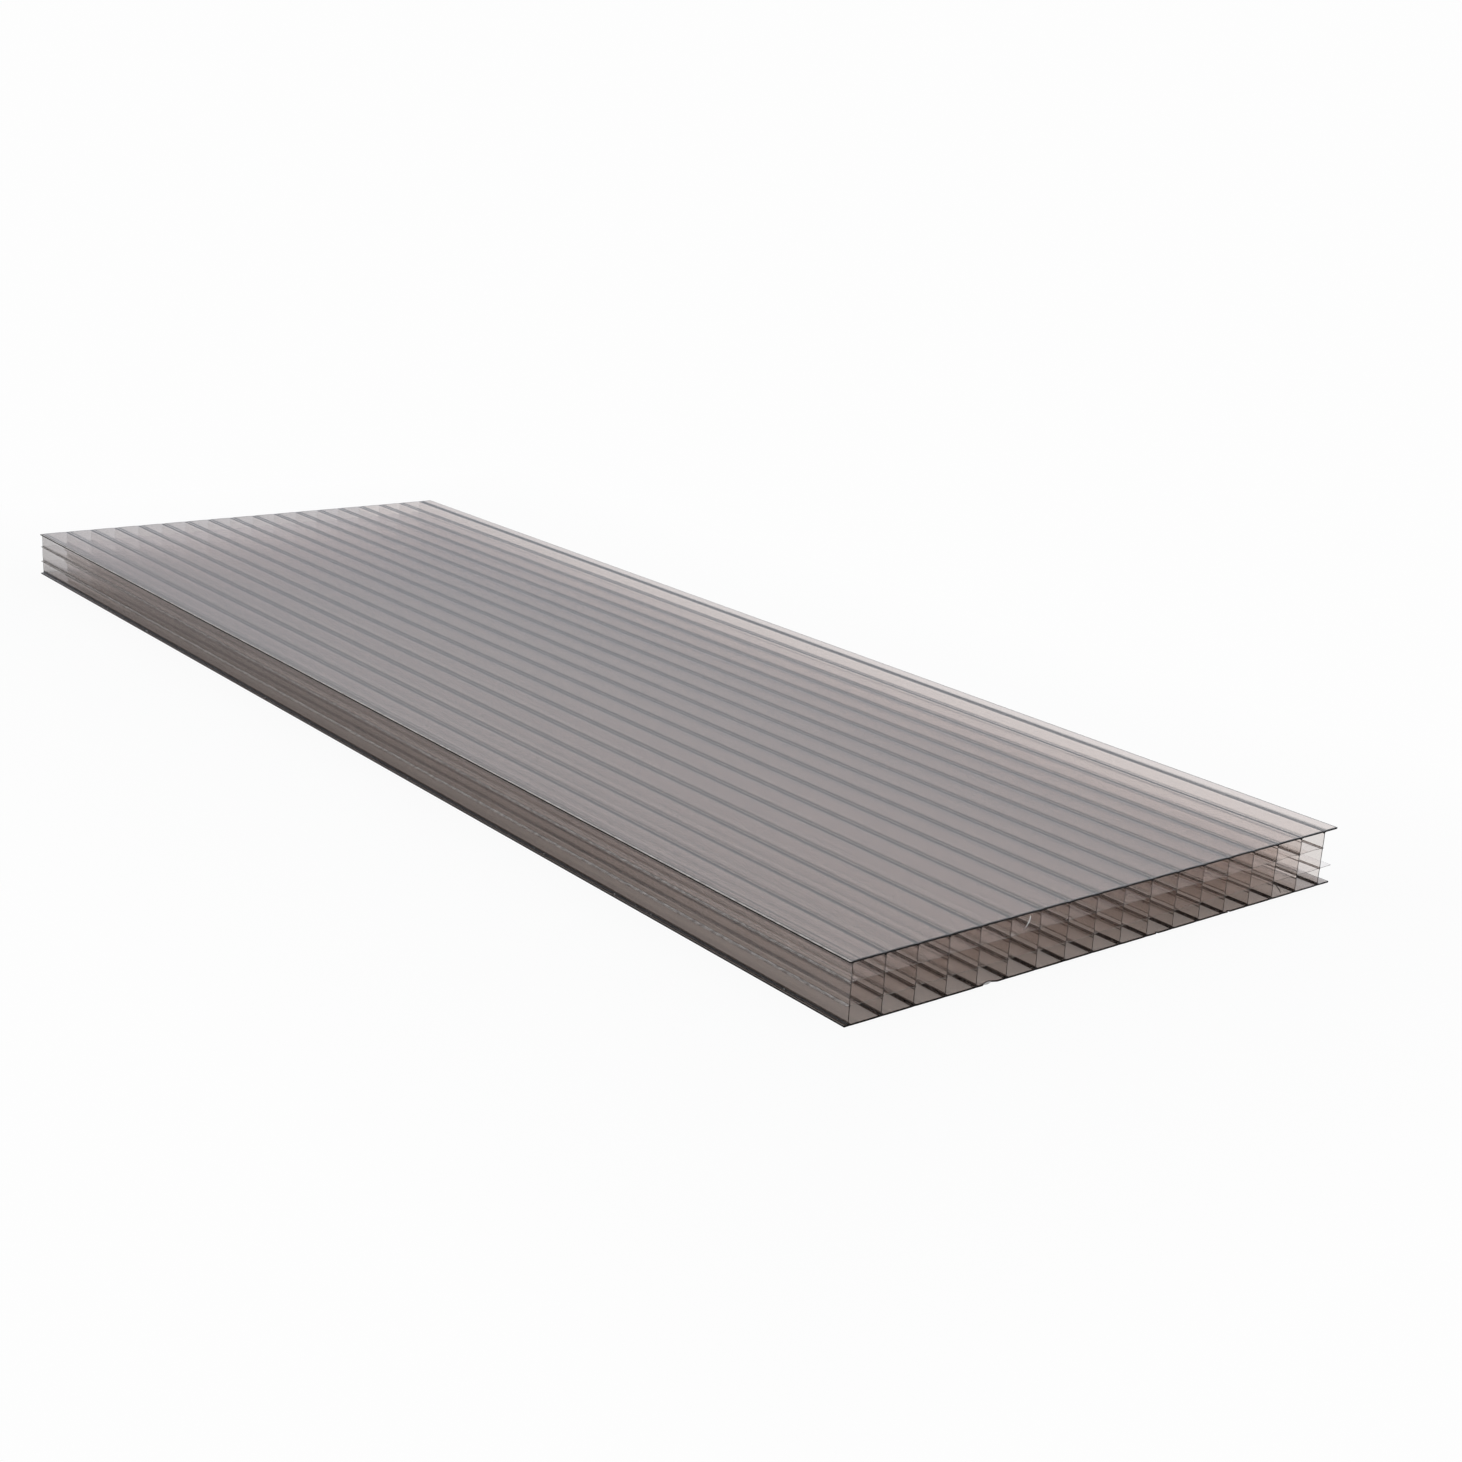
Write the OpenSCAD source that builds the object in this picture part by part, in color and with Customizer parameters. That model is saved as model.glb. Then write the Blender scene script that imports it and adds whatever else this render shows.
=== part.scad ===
// Multiwall polycarbonate sheet: four flat walls joined by upright webs, extruded as one piece.
// The length lies along Y, the webs repeat along X, and the sheet rests on its bottom skin at Z = 0.

/* [Sheet] */
// Length along the webs, between the two sawn ends
sheet_l = 762; // [150:1:3000]
// Thickness over both skins
sheet_t = 25; // [23:0.5:32]
// Number of full cells between the first web and the last
cells = 17; // [14:1:40]
// Distance from one web to the next
cell_pitch = 15.65; // [12:0.05:30]

/* [Walls] */
// Thickness of the top skin
top_skin_t = 0.7; // [0.3:0.05:1.2]
// Thickness of the bottom skin
bottom_skin_t = 0.65; // [0.3:0.05:1.2]
// Thickness of each upright web
web_t = 0.45; // [0.2:0.05:1]
// Thickness of the two walls inside
inner_wall_t = 0.2; // [0.1:0.05:0.6]
// Clear height of the lowest layer of cells
lower_cell_h = 7.2; // [4:0.1:8]
// Clear height of the uppermost layer of cells
upper_cell_h = 7.2; // [4:0.1:8]
// Radius where a web runs into a skin
skin_fillet_r = 0.95; // [0.2:0.05:1.5]
// Radius where a web crosses an inner wall
inner_fillet_r = 0.35; // [0.1:0.05:1]

/* [Sink lines over the webs] */
// Depth to which the top skin sinks over each web
top_sink_d = 0.18; // [0.05:0.01:0.25]
// Depth to which the bottom skin sinks over each web
bottom_sink_d = 0.08; // [0.05:0.01:0.25]
// Distance from the middle of a web to where the skin is level again
sink_run = 4; // [2:0.1:5.5]

/* [Sawn long edges] */
// Top skin left standing beyond the first web
left_top_stub = 1; // [0.1:0.1:7]
// Upper inner wall left beyond the first web
left_upper_stub = 0.9; // [0.1:0.1:7]
// Lower inner wall left beyond the first web
left_lower_stub = 1.2; // [0.1:0.1:7]
// Bottom skin left beyond the first web
left_bottom_stub = 1.6; // [0.1:0.1:7]
// Top skin left standing beyond the last web
right_top_stub = 8.4; // [0.1:0.1:9]
// Upper inner wall left beyond the last web
right_upper_stub = 0.6; // [0.1:0.1:9]
// Lower inner wall left beyond the last web
right_lower_stub = 7.6; // [0.1:0.1:9]
// Bottom skin left beyond the last web
right_bottom_stub = 7.4; // [0.1:0.1:9]

/* [Saw chips] */
// Widths of the chips broken out of the bottom skin at the near end
chip_w = [7.8, 1.4, 1.5]; // [0.5:0.1:8]
// Depths of the same chips, in from the sawn end
chip_d = [1.4, 0.8, 0.9]; // [0.2:0.1:4]
// Cells that the chips lie under, counted from the first web
chip_cell = [4, 10, 13]; // [0:1:13]
// Place of each chip across its cell, as a share of the pitch
chip_at = [0.47, 0.44, 0.26]; // [0.2:0.01:0.8]

/* [Hidden] */
$fn = 48;
// Sides of the wide, shallow arcs of the sink lines
arc_fn = 720;
// How far a cut runs past the face that it opens
past = 1;
// Distance from the outer face of the first web to that of the last
core_w = cells * cell_pitch + web_t;
cell_w = cell_pitch - web_t;
// Undersides of the two inner walls and of the top skin
lower_wall_z = bottom_skin_t + lower_cell_h;
top_skin_z = sheet_t - top_skin_t;
upper_wall_z = top_skin_z - upper_cell_h - inner_wall_t;
// The walls from the bottom up: underside, thickness, left stub, right stub and fillet radius
walls = [
    [0, bottom_skin_t, left_bottom_stub, right_bottom_stub, skin_fillet_r],
    [lower_wall_z, inner_wall_t, left_lower_stub, right_lower_stub, inner_fillet_r],
    [upper_wall_z, inner_wall_t, left_upper_stub, right_upper_stub, inner_fillet_r],
    [top_skin_z, top_skin_t, left_top_stub, right_top_stub, skin_fillet_r],
];
// Lowest and highest X of the section, with the outer face of the first web at 0
left_x = -max([for (w = walls) w[2]]);
right_x = core_w + max([for (w = walls) w[3]]);

// What a fillet leaves in the corner between two faces that run along +X and +Y
module fillet(r) {
    difference() {
        square(r);
        translate([r, r]) circle(r);
    }
}

// The air between two walls and two webs, with its corners filled by the fillets
module cell_air(below, above) {
    h = above[0] - below[0] - below[1];
    difference() {
        square([cell_w, h]);
        fillet(below[4]);
        translate([cell_w, 0]) mirror([1, 0]) fillet(below[4]);
        translate([0, h]) mirror([0, 1]) fillet(above[4]);
        translate([cell_w, h]) rotate(180) fillet(above[4]);
    }
}

// One wall from stub to stub, right across the sheet
module wall(w) {
    translate([-w[2], w[0]]) square([w[2] + core_w + w[3], w[1]]);
}

// Fillets on the outer sides of the first and last web, no longer than the stub that they carry
module stub_fillets(w) {
    left_r = min(w[2], w[4]);
    right_r = min(w[3], w[4]);
    if (w[0] > 0) translate([0, w[0]]) {
        rotate(180) fillet(left_r);
        translate([core_w, 0]) mirror([0, 1]) fillet(right_r);
    }
    if (w[0] < top_skin_z) translate([0, w[0] + w[1]]) {
        mirror([1, 0]) fillet(left_r);
        translate([core_w, 0]) fillet(right_r);
    }
}

// The hollow of one sink line: two shallow arcs that start level and meet over the web
module sink_line(depth) {
    r = (sink_run * sink_run + depth * depth) / (2 * depth);
    difference() {
        translate([-sink_run, -depth]) square([2 * sink_run, depth + past]);
        for (side = [-1, 1])
            translate([side * sink_run, -r]) circle(r, $fn = arc_fn);
    }
}

module section() {
    difference() {
        union() {
            square([core_w, sheet_t]);
            for (w = walls) {
                wall(w);
                stub_fillets(w);
            }
        }
        for (i = [0 : cells - 1], k = [0 : len(walls) - 2])
            translate([web_t + i * cell_pitch, walls[k][0] + walls[k][1]])
                cell_air(walls[k], walls[k + 1]);
        for (i = [0 : cells])
            translate([web_t / 2 + i * cell_pitch, 0]) {
                translate([0, sheet_t]) sink_line(top_sink_d);
                mirror([0, 1]) sink_line(bottom_sink_d);
            }
    }
}

// A chip broken out of the bottom skin: a shallow scoop seen from above
module chip(w, d) {
    linear_extrude(bottom_skin_t + past)
        polygon([[-w / 2, -past], [w / 2, -past], [w / 2, 0], [w * 0.28, d * 0.55],
                 [w * 0.06, d], [-w * 0.2, d * 0.8], [-w / 2, 0]]);
}

module multiwall_sheet() {
    color([0.42, 0.37, 0.34, 0.6])
    translate([-(left_x + right_x) / 2, -sheet_l / 2, 0])
    difference() {
        translate([0, sheet_l, 0]) rotate([90, 0, 0]) linear_extrude(sheet_l) section();
        for (i = [0 : len(chip_w) - 1])
            translate([web_t / 2 + (chip_cell[i] + chip_at[i]) * cell_pitch, 0, -past])
                chip(chip_w[i], chip_d[i]);
    }
}

multiwall_sheet();
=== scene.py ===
import math
import random

import bmesh
import bpy
from mathutils import Euler, Matrix, Vector, noise


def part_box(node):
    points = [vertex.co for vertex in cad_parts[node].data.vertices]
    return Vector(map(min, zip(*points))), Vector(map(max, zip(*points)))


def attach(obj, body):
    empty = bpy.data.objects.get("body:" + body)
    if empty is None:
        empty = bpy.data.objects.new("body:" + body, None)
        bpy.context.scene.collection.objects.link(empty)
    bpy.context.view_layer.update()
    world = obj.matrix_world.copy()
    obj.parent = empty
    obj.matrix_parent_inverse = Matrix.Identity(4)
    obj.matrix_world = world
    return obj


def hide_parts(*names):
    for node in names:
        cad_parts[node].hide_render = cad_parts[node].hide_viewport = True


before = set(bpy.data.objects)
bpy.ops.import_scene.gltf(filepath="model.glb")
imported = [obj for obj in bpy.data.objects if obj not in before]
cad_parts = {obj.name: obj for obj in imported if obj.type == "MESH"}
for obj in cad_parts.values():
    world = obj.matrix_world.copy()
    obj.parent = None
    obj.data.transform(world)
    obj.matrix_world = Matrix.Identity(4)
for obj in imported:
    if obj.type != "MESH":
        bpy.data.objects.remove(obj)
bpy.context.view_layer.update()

scene = bpy.context.scene
scene.view_settings.view_transform = "Standard"


# Camera. It stands to the left of the near end and looks along the sheet and across it, from the
# height of the photograph. Its place is given from the foot of the first web at the near end.
MM = 0.001
low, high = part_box("multiwall_sheet")
bottom_left_stub = 1.6 * MM
web_t = 0.45 * MM
first_web = low.x + bottom_left_stub
near_foot = Vector((first_web + web_t / 2, low.y, low.z))
camera_from_foot = Vector((-0.4593, -0.4942, 0.3143))
yaw, look_down, roll = math.radians(38.92), math.radians(17.19), math.radians(3.22)
image_w, focal_px, sensor_mm = 1462, 2095, 36

camera_data = bpy.data.cameras.new("camera")
camera_data.sensor_width = sensor_mm
camera_data.lens = sensor_mm * focal_px / image_w
camera_data.clip_start = 0.01
camera = bpy.data.objects.new("camera", camera_data)
turn = Euler((math.pi / 2 - look_down, 0, -yaw)).to_matrix() @ Matrix.Rotation(roll, 3, "Z")
camera.matrix_world = Matrix.Translation(near_foot + camera_from_foot) @ turn.to_4x4()
scene.collection.objects.link(camera)
scene.camera = camera


# Multiwall sheet. The real one is bronze-tinted polycarbonate, extruded in one piece: two skins and
# two thin inner walls held apart by upright webs. Both ends and both long edges are sawn, the long
# ones through a cell, so that stubs of the walls stand out there.
length = high.y - low.y
thickness = high.z - low.z
cells = 17
pitch = 15.65 * MM
core_w = cells * pitch + web_t
web_x = [first_web + i * pitch for i in range(cells + 1)]
# The four walls from the bottom up: underside, thickness, left stub and right stub
walls = [
    (0, 0.65 * MM, bottom_left_stub, 7.4 * MM),
    (7.85 * MM, 0.2 * MM, 1.2 * MM, 7.6 * MM),
    (16.9 * MM, 0.2 * MM, 0.9 * MM, 0.6 * MM),
    (thickness - 0.7 * MM, 0.7 * MM, 1.0 * MM, 8.4 * MM),
]
skin_fillet = 0.95 * MM
inner_fillet = 0.35 * MM
# The skins sink a little over each web, because the thick joint there shrinks as it cools
top_sink, bottom_sink, sink_run = 0.18 * MM, 0.08 * MM, 4 * MM
# Where a cut runs from the middle of a web, so that the sinking skin has points to follow
skin_cuts = [1.5 * MM, 2.3 * MM, 3.1 * MM, 4.0 * MM]
# Heights between two walls at which a web bends, as shares, and how far it may stray
bend_cuts = [0.3, 0.5, 0.7]
web_bow = 0.22 * MM
# How far the thin inner walls stray up or down between two webs
film_sag = 0.3 * MM
# Chips along the near end of the bottom skin: cell, place across it, width and depth
chips = [
    (4, 0.47, 7.8 * MM, 1.4 * MM),
    (10, 0.44, 1.4 * MM, 0.8 * MM),
    (13, 0.26, 1.5 * MM, 0.9 * MM),
]
# Outline of a chip: shares of its width to either side of its middle, and of its depth
chip_outline = [(-0.5, 0), (-0.2, 0.8), (0.06, 1), (0.28, 0.55), (0.5, 0)]
# How far the saw wanders at the two ends, and how far back it tears the inner walls there
saw_jitter, film_tear = 0.12 * MM, 1.2 * MM
# Width of one tear along a wall, and the height within which the cut wanders alike
tear_w, tear_band = 1.3 * MM, 4 * MM
# How far behind a sawn end the skins are painted dark, as shade
shaded_rim = 0.6 * MM
# What lies deeper than this under the outside of both skins belongs to an inner wall
skin_zone = 4 * MM
# Slack when places are compared
hair = 0.01 * MM
luck = random.Random(7)


def chip_middle(cell, at):
    return web_x[0] + web_t / 2 + (cell + at) * pitch


def is_plastic(x, z):
    """Whether a point of the section lies in a wall or in a web."""
    for under, t, left, right in walls:
        if under < z < under + t and web_x[0] - left < x < web_x[0] + core_w + right:
            return True
    return any(web < x < web + web_t for web in web_x)


def cut_section(bm):
    """Cuts the sheet's upright rectangle along every wall, web, stub and bend line."""
    across = [face for web in web_x for face in (web, web + web_t)]
    across += [web + web_t / 2 + side * run for web in web_x for run in skin_cuts for side in (-1, 1)]
    across += [web_x[0] - left for _, _, left, _ in walls]
    across += [web_x[0] + core_w + right for _, _, _, right in walls]
    across += [chip_middle(cell, at) + share * w for cell, at, w, _ in chips for share, _ in chip_outline]
    up = [z for under, t, _, _ in walls for z in (under, under + t)]
    for (under, t, _, _), (over, _, _, _) in zip(walls, walls[1:]):
        up += [under + t + share * (over - under - t) for share in bend_cuts]
    for x in across:
        if low.x + hair < x < high.x - hair:
            parts = bm.verts[:] + bm.edges[:] + bm.faces[:]
            bmesh.ops.bisect_plane(bm, geom=parts, plane_co=(x, 0, 0), plane_no=(1, 0, 0))
    for z in up:
        if hair < z < thickness - hair:
            parts = bm.verts[:] + bm.edges[:] + bm.faces[:]
            bmesh.ops.bisect_plane(bm, geom=parts, plane_co=(0, 0, z), plane_no=(0, 0, 1))


def from_web(x):
    """Distance from x to the middle of the nearest web."""
    return min(abs(x - web - web_t / 2) for web in web_x)


def sink_at(x, depth):
    """How far a skin has sunk at x: two shallow arcs that meet over the nearest web."""
    return depth * max(0, 1 - from_web(x) / sink_run) ** 2


def chip_depth(x):
    """How far the near end of the bottom skin is broken back at x."""
    for cell, at, w, depth in chips:
        share = (x - chip_middle(cell, at)) / w
        for (a, deep_a), (b, deep_b) in zip(chip_outline, chip_outline[1:]):
            if a <= share <= b:
                return depth * (deep_a + (deep_b - deep_a) * (share - a) / (b - a))
    return 0


bm = bmesh.new()
bmesh.ops.create_grid(bm, x_segments=1, y_segments=1, size=0.5)
bmesh.ops.scale(bm, vec=(high.x - low.x, thickness, 1), verts=bm.verts)
bmesh.ops.rotate(bm, cent=(0, 0, 0), matrix=Matrix.Rotation(math.pi / 2, 3, "X"), verts=bm.verts)
bmesh.ops.translate(bm, vec=((low.x + high.x) / 2, low.y, thickness / 2), verts=bm.verts)
cut_section(bm)
air = [f for f in bm.faces if not is_plastic(f.calc_center_median().x, f.calc_center_median().z)]
bmesh.ops.delete(bm, geom=air, context="FACES")
bmesh.ops.delete(bm, geom=[e for e in bm.edges if not e.link_faces], context="EDGES")

made = bmesh.ops.extrude_face_region(bm, geom=bm.faces[:], use_keep_orig=True)
far_points = [v for v in made["geom"] if isinstance(v, bmesh.types.BMVert)]
bmesh.ops.translate(bm, vec=(0, length, 0), verts=far_points)
bmesh.ops.recalc_face_normals(bm, faces=bm.faces)
bm.normal_update()

# Each web strays a little to one side between two walls, the same all along the sheet
for web in web_x:
    for (under, t, _, _), (over, _, _, _) in zip(walls, walls[1:]):
        bow = luck.uniform(-web_bow, web_bow)
        for v in bm.verts:
            share = (v.co.z - under - t) / (over - under - t)
            if 0.1 < share < 0.9 and abs(v.co.x - web - web_t / 2) < web_t:
                v.co.x += bow * math.sin(math.pi * share)

# The inner walls are thin and hang a little up or down between two webs
for web in [web_x[0] - pitch] + web_x:
    for under, t, _, _ in walls[1:3]:
        sag = luck.uniform(-film_sag, film_sag)
        for v in bm.verts:
            share = (v.co.x - web - web_t) / (pitch - web_t)
            if 0 < share < 1 and under - hair < v.co.z < under + t + hair:
                v.co.z += sag * math.sin(math.pi * share)

# Fillets where the webs run into the walls: large ones at the skins and small ones inside
skin_corners, inner_corners = [], []
for e in bm.edges:
    along = abs(e.verts[0].co.y - e.verts[1].co.y) > length / 2
    if along and len(e.link_faces) == 2 and e.calc_face_angle_signed() < -1:
        at_skin = min(e.verts[0].co.z, thickness - e.verts[0].co.z) < skin_zone
        (skin_corners if at_skin else inner_corners).append(e)
for corners, radius, segments in ((skin_corners, skin_fillet, 4), (inner_corners, inner_fillet, 3)):
    sharp = [e for e in corners if e.is_valid]
    bmesh.ops.bevel(bm, geom=sharp, offset=radius, offset_type="OFFSET", segments=segments,
                    profile=0.5, affect="EDGES", material=-1, clamp_overlap=True)

# Faces by finish: the smooth skins and webs, the rippled inner walls, the thick joints of web and
# skin, tinted nearly black as painted shade, the joints inside, tinted a little darker as painted
# shade, the sawn skins and sawn webs, painted dark as shade, the torn edges of the inner walls, with
# painted glints, and the short stubs on the left, which the passing blade has frosted, with painted
# glints
SMOOTH, RIPPLED, SHADED_SKIN_JOINT, SHADED_INNER_JOINT, SHADED_SAWN_SKIN, SHADED_SAWN_WEB, TORN_FILM_GLINTS, FROSTED_GLINTS = range(8)
top_skin_t = walls[3][1]


def finish_of(f):
    """The finish of a face, from where it lies and the share of its normal along each axis."""
    middle = f.calc_center_median()
    from_skin = min(middle.z, thickness - middle.z)
    at_end = abs(f.normal.y) > 0.9
    on_left_stub = middle.x < web_x[0] - hair and abs(f.normal.x) < 0.99
    if on_left_stub and not at_end and (from_skin > skin_zone or middle.z > thickness - hair):
        return FROSTED_GLINTS
    beyond_webs = max(web_x[0] - middle.x, middle.x - web_x[0] - core_w)
    at_edge = abs(f.normal.x) > 0.95 and beyond_webs > 0.5 * MM
    if at_end or at_edge:
        if from_skin < top_skin_t + skin_fillet / 2:
            return SHADED_SAWN_SKIN
        return SHADED_SAWN_WEB if from_web(middle.x) < web_t else TORN_FILM_GLINTS
    # Next to each web the top of the bottom skin takes the dark joint colour too: painted shade that
    # widens the dark bars there
    joint_foot = abs(middle.z - walls[0][1]) < hair and from_web(middle.x) < skin_cuts[0]
    if joint_foot or 0.1 < abs(f.normal.z) < 0.99 and abs(f.normal.x) > 0.1:
        return SHADED_SKIN_JOINT if from_skin < top_skin_t + skin_fillet else SHADED_INNER_JOINT
    return RIPPLED if from_skin > skin_zone and abs(f.normal.z) > 0.9 else SMOOTH


bm.normal_update()
for f in bm.faces:
    f.material_index = finish_of(f)
    f.smooth = f.material_index < SHADED_SAWN_SKIN
for e in bm.edges:
    finishes = [f.smooth for f in e.link_faces]
    e.smooth = all(finishes) and e.calc_face_angle(0) < math.radians(35)

# Just behind the sawn ends the skins take the dark joint colour as well, painted shade, because no light
# comes in through the cut
for y in (low.y + shaded_rim, high.y - shaded_rim):
    parts = bm.verts[:] + bm.edges[:] + bm.faces[:]
    bmesh.ops.bisect_plane(bm, geom=parts, plane_co=(0, y, 0), plane_no=(0, 1, 0))
for f in bm.faces:
    middle = f.calc_center_median()
    on_skin = min(middle.z, thickness - middle.z) < hair
    if on_skin and f.material_index == SMOOTH and abs(middle.y) > high.y - shaded_rim:
        f.material_index = SHADED_SKIN_JOINT

# The outer faces of the skins sink over the webs. The saw leaves the ends a little uneven, tears
# the thin inner walls further back than the rest, and breaks chips out of the bottom skin.
for v in bm.verts:
    if v.co.z > thickness - hair:
        v.co.z -= sink_at(v.co.x, top_sink)
    elif v.co.z < hair:
        v.co.z += sink_at(v.co.x, bottom_sink)
    inside = min(v.co.z, thickness - v.co.z) > skin_zone
    in_film = inside and from_web(v.co.x) > 2 * web_t
    end = math.copysign(10, v.co.y)
    wander = abs(noise.noise(Vector((v.co.x / tear_w, round(v.co.z / tear_band), end))))
    back = wander * (film_tear if in_film else saw_jitter)
    if v.co.y < low.y + shaded_rim + hair:
        on_bottom = v.co.z < 1 * MM
        v.co.y += max(back, chip_depth(v.co.x) if on_bottom else 0)
    elif v.co.y > high.y - shaded_rim - hair:
        v.co.y -= back
sheet_mesh = bpy.data.meshes.new("sheet")
bm.to_mesh(sheet_mesh)
bm.free()
sheet = bpy.data.objects.new("sheet", sheet_mesh)
scene.collection.objects.link(sheet)


class Wire:
    """A socket of a node tree. Sums and products of wires add Math nodes, and node() adds any other."""

    def __init__(self, tree, socket=None):
        self.tree = tree
        self.socket = socket

    def node(self, kind, settings=None, inputs=None, out=0):
        made = self.tree.nodes.new(kind)
        for name, value in (settings or {}).items():
            if name == "stops":
                for at, _ in value[1:-1]:
                    made.color_ramp.elements.new(at)
                for stop, (at, level) in zip(made.color_ramp.elements, value):
                    stop.position = at
                    stop.color = (*level, 1)
            else:
                setattr(made, name, value)
        for name, value in (inputs or {}).items():
            if isinstance(value, Wire):
                self.tree.links.new(value.socket, made.inputs[name])
            else:
                made.inputs[name].default_value = value
        return Wire(self.tree, made.outputs[out] if made.outputs else None)

    def maths(self, operation, a, b=0.0):
        return self.node("ShaderNodeMath", {"operation": operation}, {0: a, 1: b})

    def __add__(self, other):
        return self.maths("ADD", self, other)

    def __sub__(self, other):
        return self.maths("SUBTRACT", self, other)

    def __rsub__(self, other):
        return self.maths("SUBTRACT", other, self)

    def __mul__(self, other):
        return self.maths("MULTIPLY", self, other)

    __radd__ = __add__
    __rmul__ = __mul__


def new_material(name):
    material = bpy.data.materials.new(name)
    material.use_nodes = True
    material.node_tree.nodes.clear()
    return material, Wire(material.node_tree)


def clear_bronze(name, pass_colour, ripple):
    """Drawn surfaces: clear, glossy and tinted all through, with faint die lines along the sheet.
    The pass colour dims what goes through: white on the walls, painted shade on the joints.
    """
    material, tree = new_material(name)
    normal = {}
    if ripple:
        place = tree.node("ShaderNodeTexCoord", out="Object")
        stretched = tree.node(
            "ShaderNodeVectorMath", {"operation": "MULTIPLY"}, {0: place, 1: (900, 5, 900)})
        die_lines = tree.node("ShaderNodeTexNoise", {}, {"Vector": stretched, "Scale": 1, "Detail": 3})
        normal["Normal"] = tree.node(
            "ShaderNodeBump", {}, {"Strength": 0.35, "Distance": ripple, "Height": die_lines})
    plastic = tree.node("ShaderNodeBsdfPrincipled", {}, {
        "Base Color": (*pass_colour, 1), "Roughness": 0, "IOR": 1.58, "Transmission Weight": 1, **normal})
    # Light that the tent sheds on what lies behind goes straight through, dimmed a little
    shadow_ray = tree.node("ShaderNodeLightPath", out="Is Shadow Ray")
    straight = tree.node("ShaderNodeBsdfTransparent", {}, {"Color": (0.975, 0.975, 0.975, 1)})
    surface = tree.node("ShaderNodeMixShader", {}, {0: shadow_ray, 1: plastic, 2: straight})
    tint = tree.node("ShaderNodeVolumeAbsorption", {}, {"Color": (0.40, 0.15, 0, 1), "Density": 445})
    tree.node("ShaderNodeOutputMaterial", {}, {"Surface": surface, "Volume": tint})
    return material


def sawn(name, dark, pale):
    """Sawn faces: matt and streaked by the saw across the wall. On the sheet's sawn ends their dark
    colours are painted shade, for light that comes out far through the tinted plastic.
    """
    material, tree = new_material(name)
    place = tree.node("ShaderNodeTexCoord", out="Object")
    stretched = tree.node(
        "ShaderNodeVectorMath", {"operation": "MULTIPLY"}, {0: place, 1: (700, 400, 2500)})
    streaks = tree.node("ShaderNodeTexNoise", {}, {"Vector": stretched, "Scale": 1, "Detail": 2})
    colour = tree.node("ShaderNodeValToRGB", {"stops": [(0.35, dark), (0.75, pale)]}, {"Fac": streaks})
    relief = tree.node("ShaderNodeBump", {}, {"Strength": 0.6, "Distance": 0.0001, "Height": streaks})
    face = tree.node("ShaderNodeBsdfPrincipled", {}, {
        "Base Color": colour, "Roughness": 0.5, "Specular IOR Level": 0.1, "Normal": relief})
    tree.node("ShaderNodeOutputMaterial", {}, {"Surface": face})
    return material


# In the order of the finishes
sheet_materials = [
    clear_bronze("smooth_bronze", (1, 1, 1), 0.02 * MM),
    clear_bronze("rippled_bronze", (1, 1, 1), 0.05 * MM),
    # The thick joints of web and skin: a nearly black pass colour, painted shade for the dark bars along
    # them
    clear_bronze("skin_joint_painted_shade", (0.05, 0.04, 0.035), 0),
    # The joints inside: a slightly darker pass colour, painted shade for dark lines along them
    clear_bronze("inner_joint_painted_shade", (0.75, 0.7, 0.67), 0),
    # Sawn skin ends: near black, painted shade for the light lost along the tinted skin
    sawn("sawn_skin_painted_shade", (0.006, 0.0045, 0.0045), (0.014, 0.011, 0.011)),
    # Sawn web ends: dark grey, painted shade as on the skins
    sawn("sawn_web_painted_shade", (0.035, 0.028, 0.025), (0.12, 0.10, 0.09)),
    # Torn inner wall edges: their pale streaks are painted glints
    sawn("torn_film_painted_glints", (0.1, 0.085, 0.075), (0.42, 0.38, 0.35)),
    # Left stubs: frosted by the blade, and their pale dots are painted glints
    sawn("frosted", (0.27, 0.24, 0.22), (0.64, 0.60, 0.56)),
]
for material in sheet_materials:
    sheet_mesh.materials.append(material)
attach(sheet, "root")
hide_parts("multiwall_sheet")


# Saw flakes. The blade has left shavings of the same plastic on the cut: a pale curl in a top cell
# and a dark one in a lowest cell, a flake hanging in the widest chip, and crumbs at the crossings of
# the near end and along the left edge.
# The path of each shaving: points across, in from the near end and up, in mm
top_curl = [(88.4, 2.5, 17.1), (88.0, 1.2, 18.7), (88.2, 0.5, 20.4), (88.8, 0.4, 22), (89.3, 0.8, 23.1)]
low_curl = [(238, 1.8, 6.4), (239, 0.9, 4.9), (240.4, 0.4, 3.2), (241.8, 0.6, 1.7), (242.9, 1.4, 0.8)]
chip_flake = [(66.2, 0.8, 0.35), (67.4, 0.7, 0.3), (68.8, 0.7, 0.25), (70.2, 0.8, 0.3), (71.5, 1, 0.35)]
shaving_t = 0.06
# Width of a shaving's two tips, as a share of its widest place
tip_share = 0.35
# The least and the greatest radius of a crumb along its longest axis
crumb_size = (0.12, 0.42)
# Crumbs at the near end: how many, the heights of the walls that hold them, and the highest place
crossing_crumbs, crumb_heights, crumb_top = 26, [8.0, 17.0, 17.0, 24.0], 24.5
# Crumbs on the ledges of the left edge: how many, where the first and the last may lie along it,
# and each ledge's reach and height
edge_crumbs, edge_run = 130, (2, 740)
ledges = [(1.1, 7.95), (1.1, 7.95), (0.8, 17.0), (0.8, 24.2), (1.1, 1.1)]


def shaving(bm, path, width, side):
    """A thin ribbon along a path, wide towards its side and narrower at both ends."""
    segments = len(path) - 1
    made = bmesh.ops.create_grid(bm, x_segments=1, y_segments=segments, size=0.5)
    for v in made["verts"]:
        along = v.co.y + 0.5
        aside = v.co.x * width * (tip_share + (1 - tip_share) * math.sin(math.pi * along))
        v.co = Vector(path[round(along * segments)]) + aside * Vector(side)
    faces = {f for v in made["verts"] for f in v.link_faces}
    bmesh.ops.solidify(bm, geom=list(faces), thickness=shaving_t)


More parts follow.
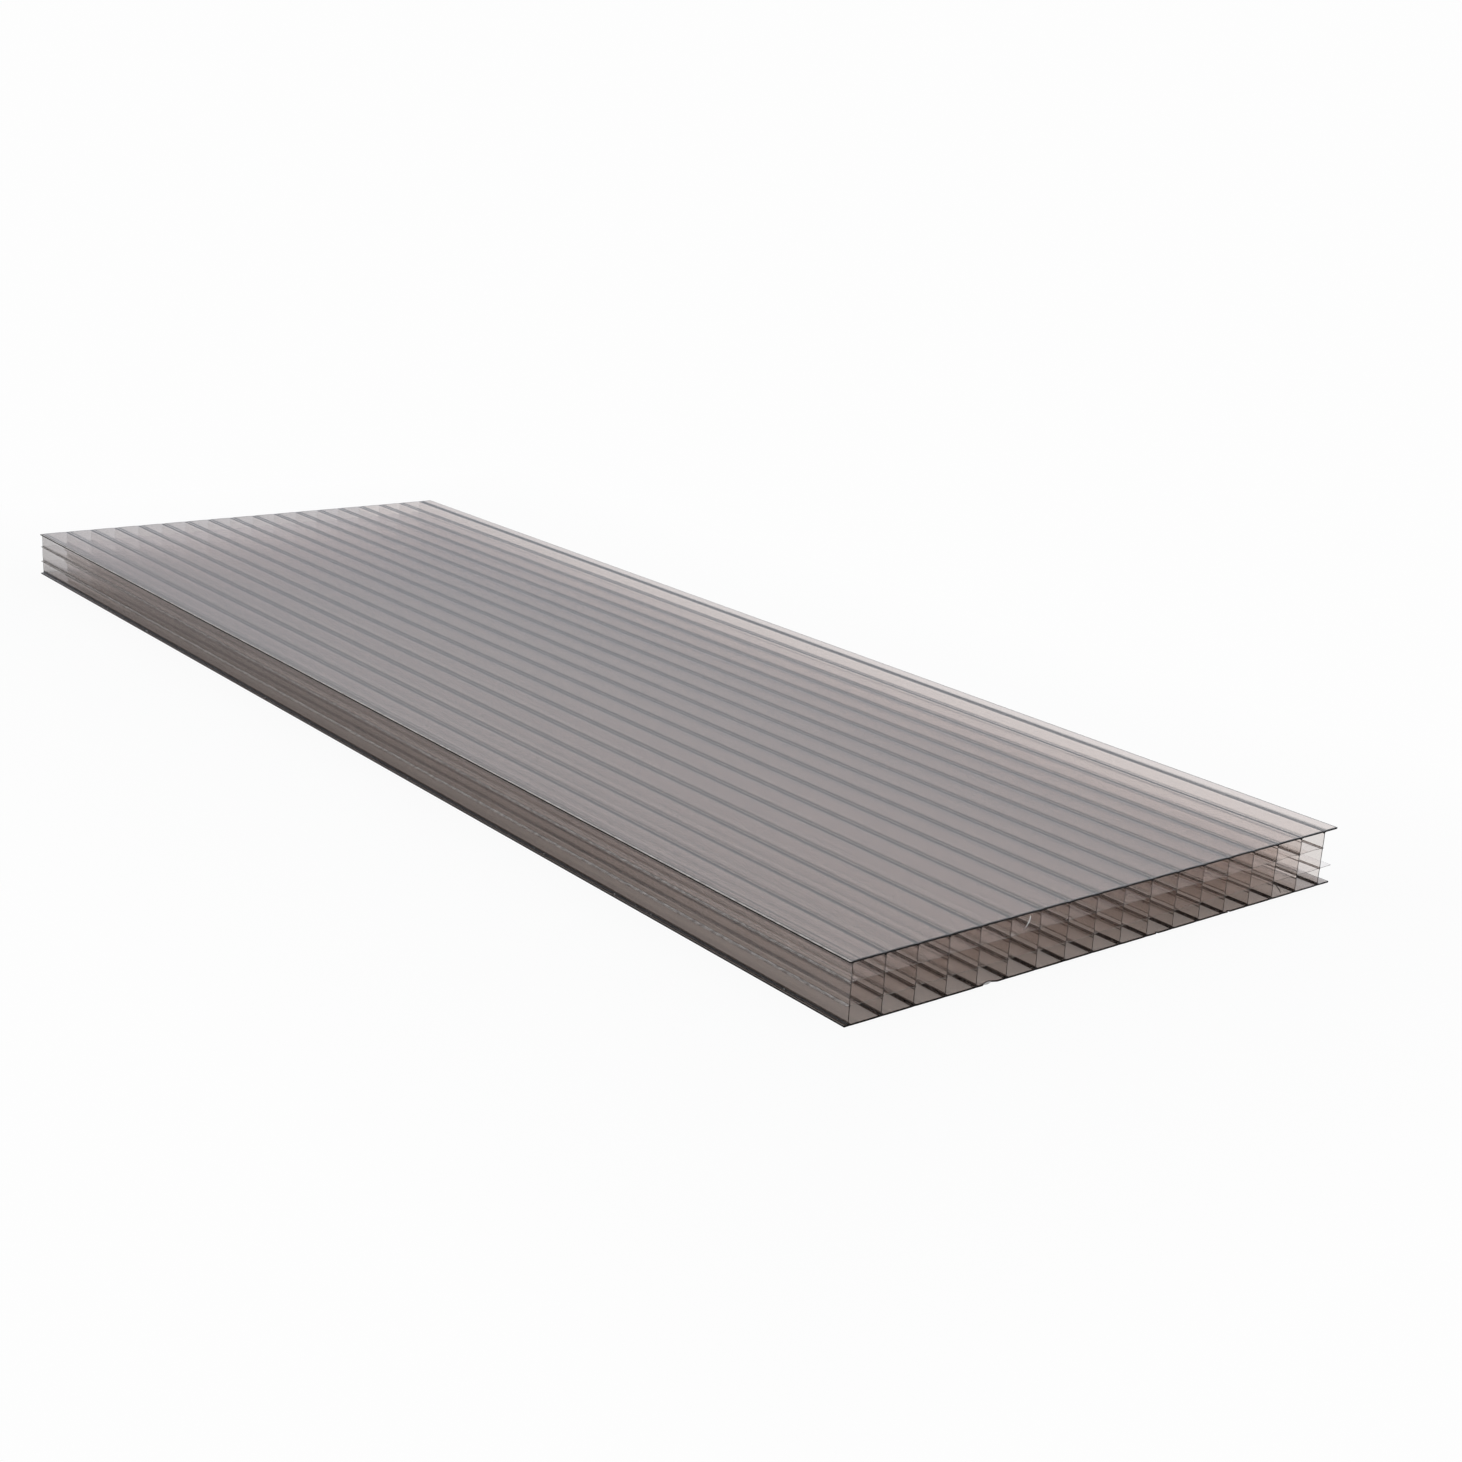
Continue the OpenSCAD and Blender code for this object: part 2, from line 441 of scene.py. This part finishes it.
def crumb(bm, x, back, z):
    """One grain of swarf, flattened and turned at random."""
    size = luck.uniform(*crumb_size)
    turned = Euler([luck.uniform(0, math.tau) for _ in range(3)]).to_matrix().to_4x4()
    shape = Matrix.Diagonal((size, size * luck.uniform(0.3, 0.7), size * luck.uniform(0.2, 0.5), 1))
    bmesh.ops.create_icosphere(bm, subdivisions=1, radius=1,
                               matrix=Matrix.Translation((x, back, z)) @ turned @ shape)


def add_swarf(name, bm, material):
    """Finishes a mesh that was drawn in millimetres from the foot of the first web."""
    bmesh.ops.scale(bm, vec=(MM, MM, MM), verts=bm.verts)
    bmesh.ops.translate(bm, vec=(first_web, low.y, low.z), verts=bm.verts)
    bmesh.ops.recalc_face_normals(bm, faces=bm.faces)
    mesh = bpy.data.meshes.new(name)
    bm.to_mesh(mesh)
    bm.free()
    mesh.materials.append(material)
    swarf = bpy.data.objects.new(name, mesh)
    scene.collection.objects.link(swarf)
    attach(swarf, "root")


frosted, curled = bmesh.new(), bmesh.new()
shaving(frosted, top_curl, 1.0, (1, 0, 0.25))
shaving(frosted, chip_flake, 1.2, (0, 1, 0.2))
shaving(curled, low_curl, 0.5, (1, 0, 0.25))
for _ in range(crossing_crumbs):
    at_web = luck.randrange(cells + 1) * pitch / MM + luck.gauss(0.2, 0.5)
    at_wall = luck.choice(crumb_heights) + luck.gauss(0, 0.3)
    crumb(frosted, at_web, luck.uniform(0.5, 0.9), min(at_wall, crumb_top))
for _ in range(edge_crumbs):
    reach, at_wall = luck.choice(ledges)
    out = -reach * luck.uniform(0.3, 1)
    crumb(frosted, out, luck.uniform(*edge_run), at_wall + luck.uniform(-0.2, 0.2))
add_swarf("frosted_swarf", frosted, sawn("frosted_swarf", (0.5, 0.48, 0.46), (0.9, 0.88, 0.86)))
add_swarf("curled_swarf", curled, sawn("curled_swarf", (0.02, 0.016, 0.013), (0.06, 0.05, 0.04)))


# Floor. A plain white studio floor a hair under the sheet, so that light reaches the cells from
# below. The camera sees it nearly white near the sheet, with a light shadow, and plain white further
# out. The clear walls see it whiter on the right, which is painted light, and under the sheet it has
# some painted light of its own, which stands for what those walls focus there. What the left side
# mirrors is painted darker further back, a painted shade.
floor_gap = 0.3 * MM
floor_reach = 12
floor_paint = (0.7, 0.69, 0.68, 1)
paper_white = (0.985, 0.985, 0.985, 1)
# How white the camera sees it beside the sheet, and how far out it is plain white
seen_white, white_from = 0.95, 0.2
# How white the clear walls see it on the right, as painted light, and the painted light of its own under
# the sheet
right_painted_light, focused_light = 0.4, 0.11
# The share of painted shade in what the left side mirrors, which sets in along the nearest quarter of the
# sheet
left_painted_shade = 0.42
bm = bmesh.new()
bmesh.ops.create_grid(bm, x_segments=1, y_segments=1, size=floor_reach)
bmesh.ops.translate(bm, vec=(0, 0, -floor_gap), verts=bm.verts)
floor_mesh = bpy.data.meshes.new("floor")
bm.to_mesh(floor_mesh)
bm.free()
floor = bpy.data.objects.new("floor", floor_mesh)
scene.collection.objects.link(floor)
floor_material, tree = new_material("studio_floor")
floor_material.cycles.emission_sampling = "NONE"
paint = tree.node("ShaderNodeBsdfDiffuse", {}, {"Color": floor_paint})
glow = tree.node("ShaderNodeEmission", {}, {"Color": paper_white, "Strength": 1})
camera_ray = tree.node("ShaderNodeLightPath", out="Is Camera Ray")
glossy_ray = tree.node("ShaderNodeLightPath", out="Is Glossy Ray")
through_ray = tree.node("ShaderNodeLightPath", out="Is Transmission Ray")
place = tree.node("ShaderNodeTexCoord", out="Object")
aside = tree.node("ShaderNodeVectorMath", {"operation": "ABSOLUTE"}, {0: place})
aside_x = tree.node("ShaderNodeSeparateXYZ", {}, {0: aside}, out="X")
aside_y = tree.node("ShaderNodeSeparateXYZ", {}, {0: aside}, out="Y")
under_sheet = tree.maths("LESS_THAN", aside_x, high.x) * tree.maths("LESS_THAN", aside_y, high.y)
floor_x = tree.node("ShaderNodeSeparateXYZ", {}, {0: place}, out="X")
floor_y = tree.node("ShaderNodeSeparateXYZ", {}, {0: place}, out="Y")
on_right = tree.maths("GREATER_THAN", floor_x, high.x)
# Painted light on the floor, seen only in and through the clear walls
painted_light_in_clear = (glossy_ray + through_ray) * (under_sheet * focused_light + on_right * right_painted_light)
further_back = tree.node("ShaderNodeMapRange", {}, {
    "Value": floor_y, "From Min": low.y, "From Max": low.y * 0.5, "To Min": 0, "To Max": left_painted_shade})
mirror_painted_shade = glossy_ray * tree.maths("LESS_THAN", floor_x, low.x) * further_back
outside = tree.maths("MAXIMUM", aside_x - high.x, aside_y - high.y)
whiteness = tree.maths("MINIMUM", outside * ((1 - seen_white) / white_from) + seen_white, 1.0)
shown = camera_ray * whiteness + painted_light_in_clear
floor_look = tree.node("ShaderNodeMixShader", {}, {0: shown, 1: paint, 2: glow})
# A black emission: the painted shade mixed into what the left side mirrors
dark = tree.node("ShaderNodeEmission", {}, {"Color": (0, 0, 0, 1), "Strength": 0})
mirrored = tree.node("ShaderNodeMixShader", {}, {0: mirror_painted_shade, 1: floor_look, 2: dark})
tree.node("ShaderNodeOutputMaterial", {}, {"Surface": mirrored})
floor_mesh.materials.append(floor_material)


# Studio light. A large soft tent: bright overhead, dimmer towards the horizon and lighter on the
# right than on the left. The camera itself sees it as plain white.
tent_strength = 1.1
tent_lean, tent_drop = 0.35, 0.155
tent_stops = [
    (0, (0.32, 0.34, 0.38)),
    (0.2, (0.59, 0.61, 0.66)),
    (0.3, (0.70, 0.73, 0.78)),
    (0.45, (0.83, 0.86, 0.92)),
    (0.6, (1, 1.04, 1.08)),
    (1, (1.08, 1.12, 1.15)),
]
world = bpy.data.worlds.new("studio")
world.use_nodes = True
world.node_tree.nodes.clear()
scene.world = world
tree = Wire(world.node_tree)
direction = tree.node("ShaderNodeTexCoord", out="Generated")
height = tree.node("ShaderNodeSeparateXYZ", {}, {0: direction}, out="Z")
rightward = tree.node("ShaderNodeSeparateXYZ", {}, {0: direction}, out="X")
tilted = height + rightward * tent_lean - tent_drop
tent = tree.node("ShaderNodeValToRGB", {"stops": tent_stops}, {"Fac": tilted})
camera_ray = tree.node("ShaderNodeLightPath", out="Is Camera Ray")
lit = tree.node("ShaderNodeBackground", {}, {"Color": tent, "Strength": tent_strength})
white = tree.node("ShaderNodeBackground", {}, {"Color": paper_white, "Strength": 1})
sky = tree.node("ShaderNodeMixShader", {}, {0: camera_ray, 1: lit, 2: white})
tree.node("ShaderNodeOutputWorld", {}, {"Surface": sky})

# Light goes through many thin walls before it leaves the sheet
scene.cycles.max_bounces = 24
scene.cycles.transmission_bounces = 24
scene.cycles.glossy_bounces = 24
scene.cycles.transparent_max_bounces = 40
scene.cycles.diffuse_bounces = 2
scene.cycles.caustics_refractive = False
scene.cycles.caustics_reflective = False
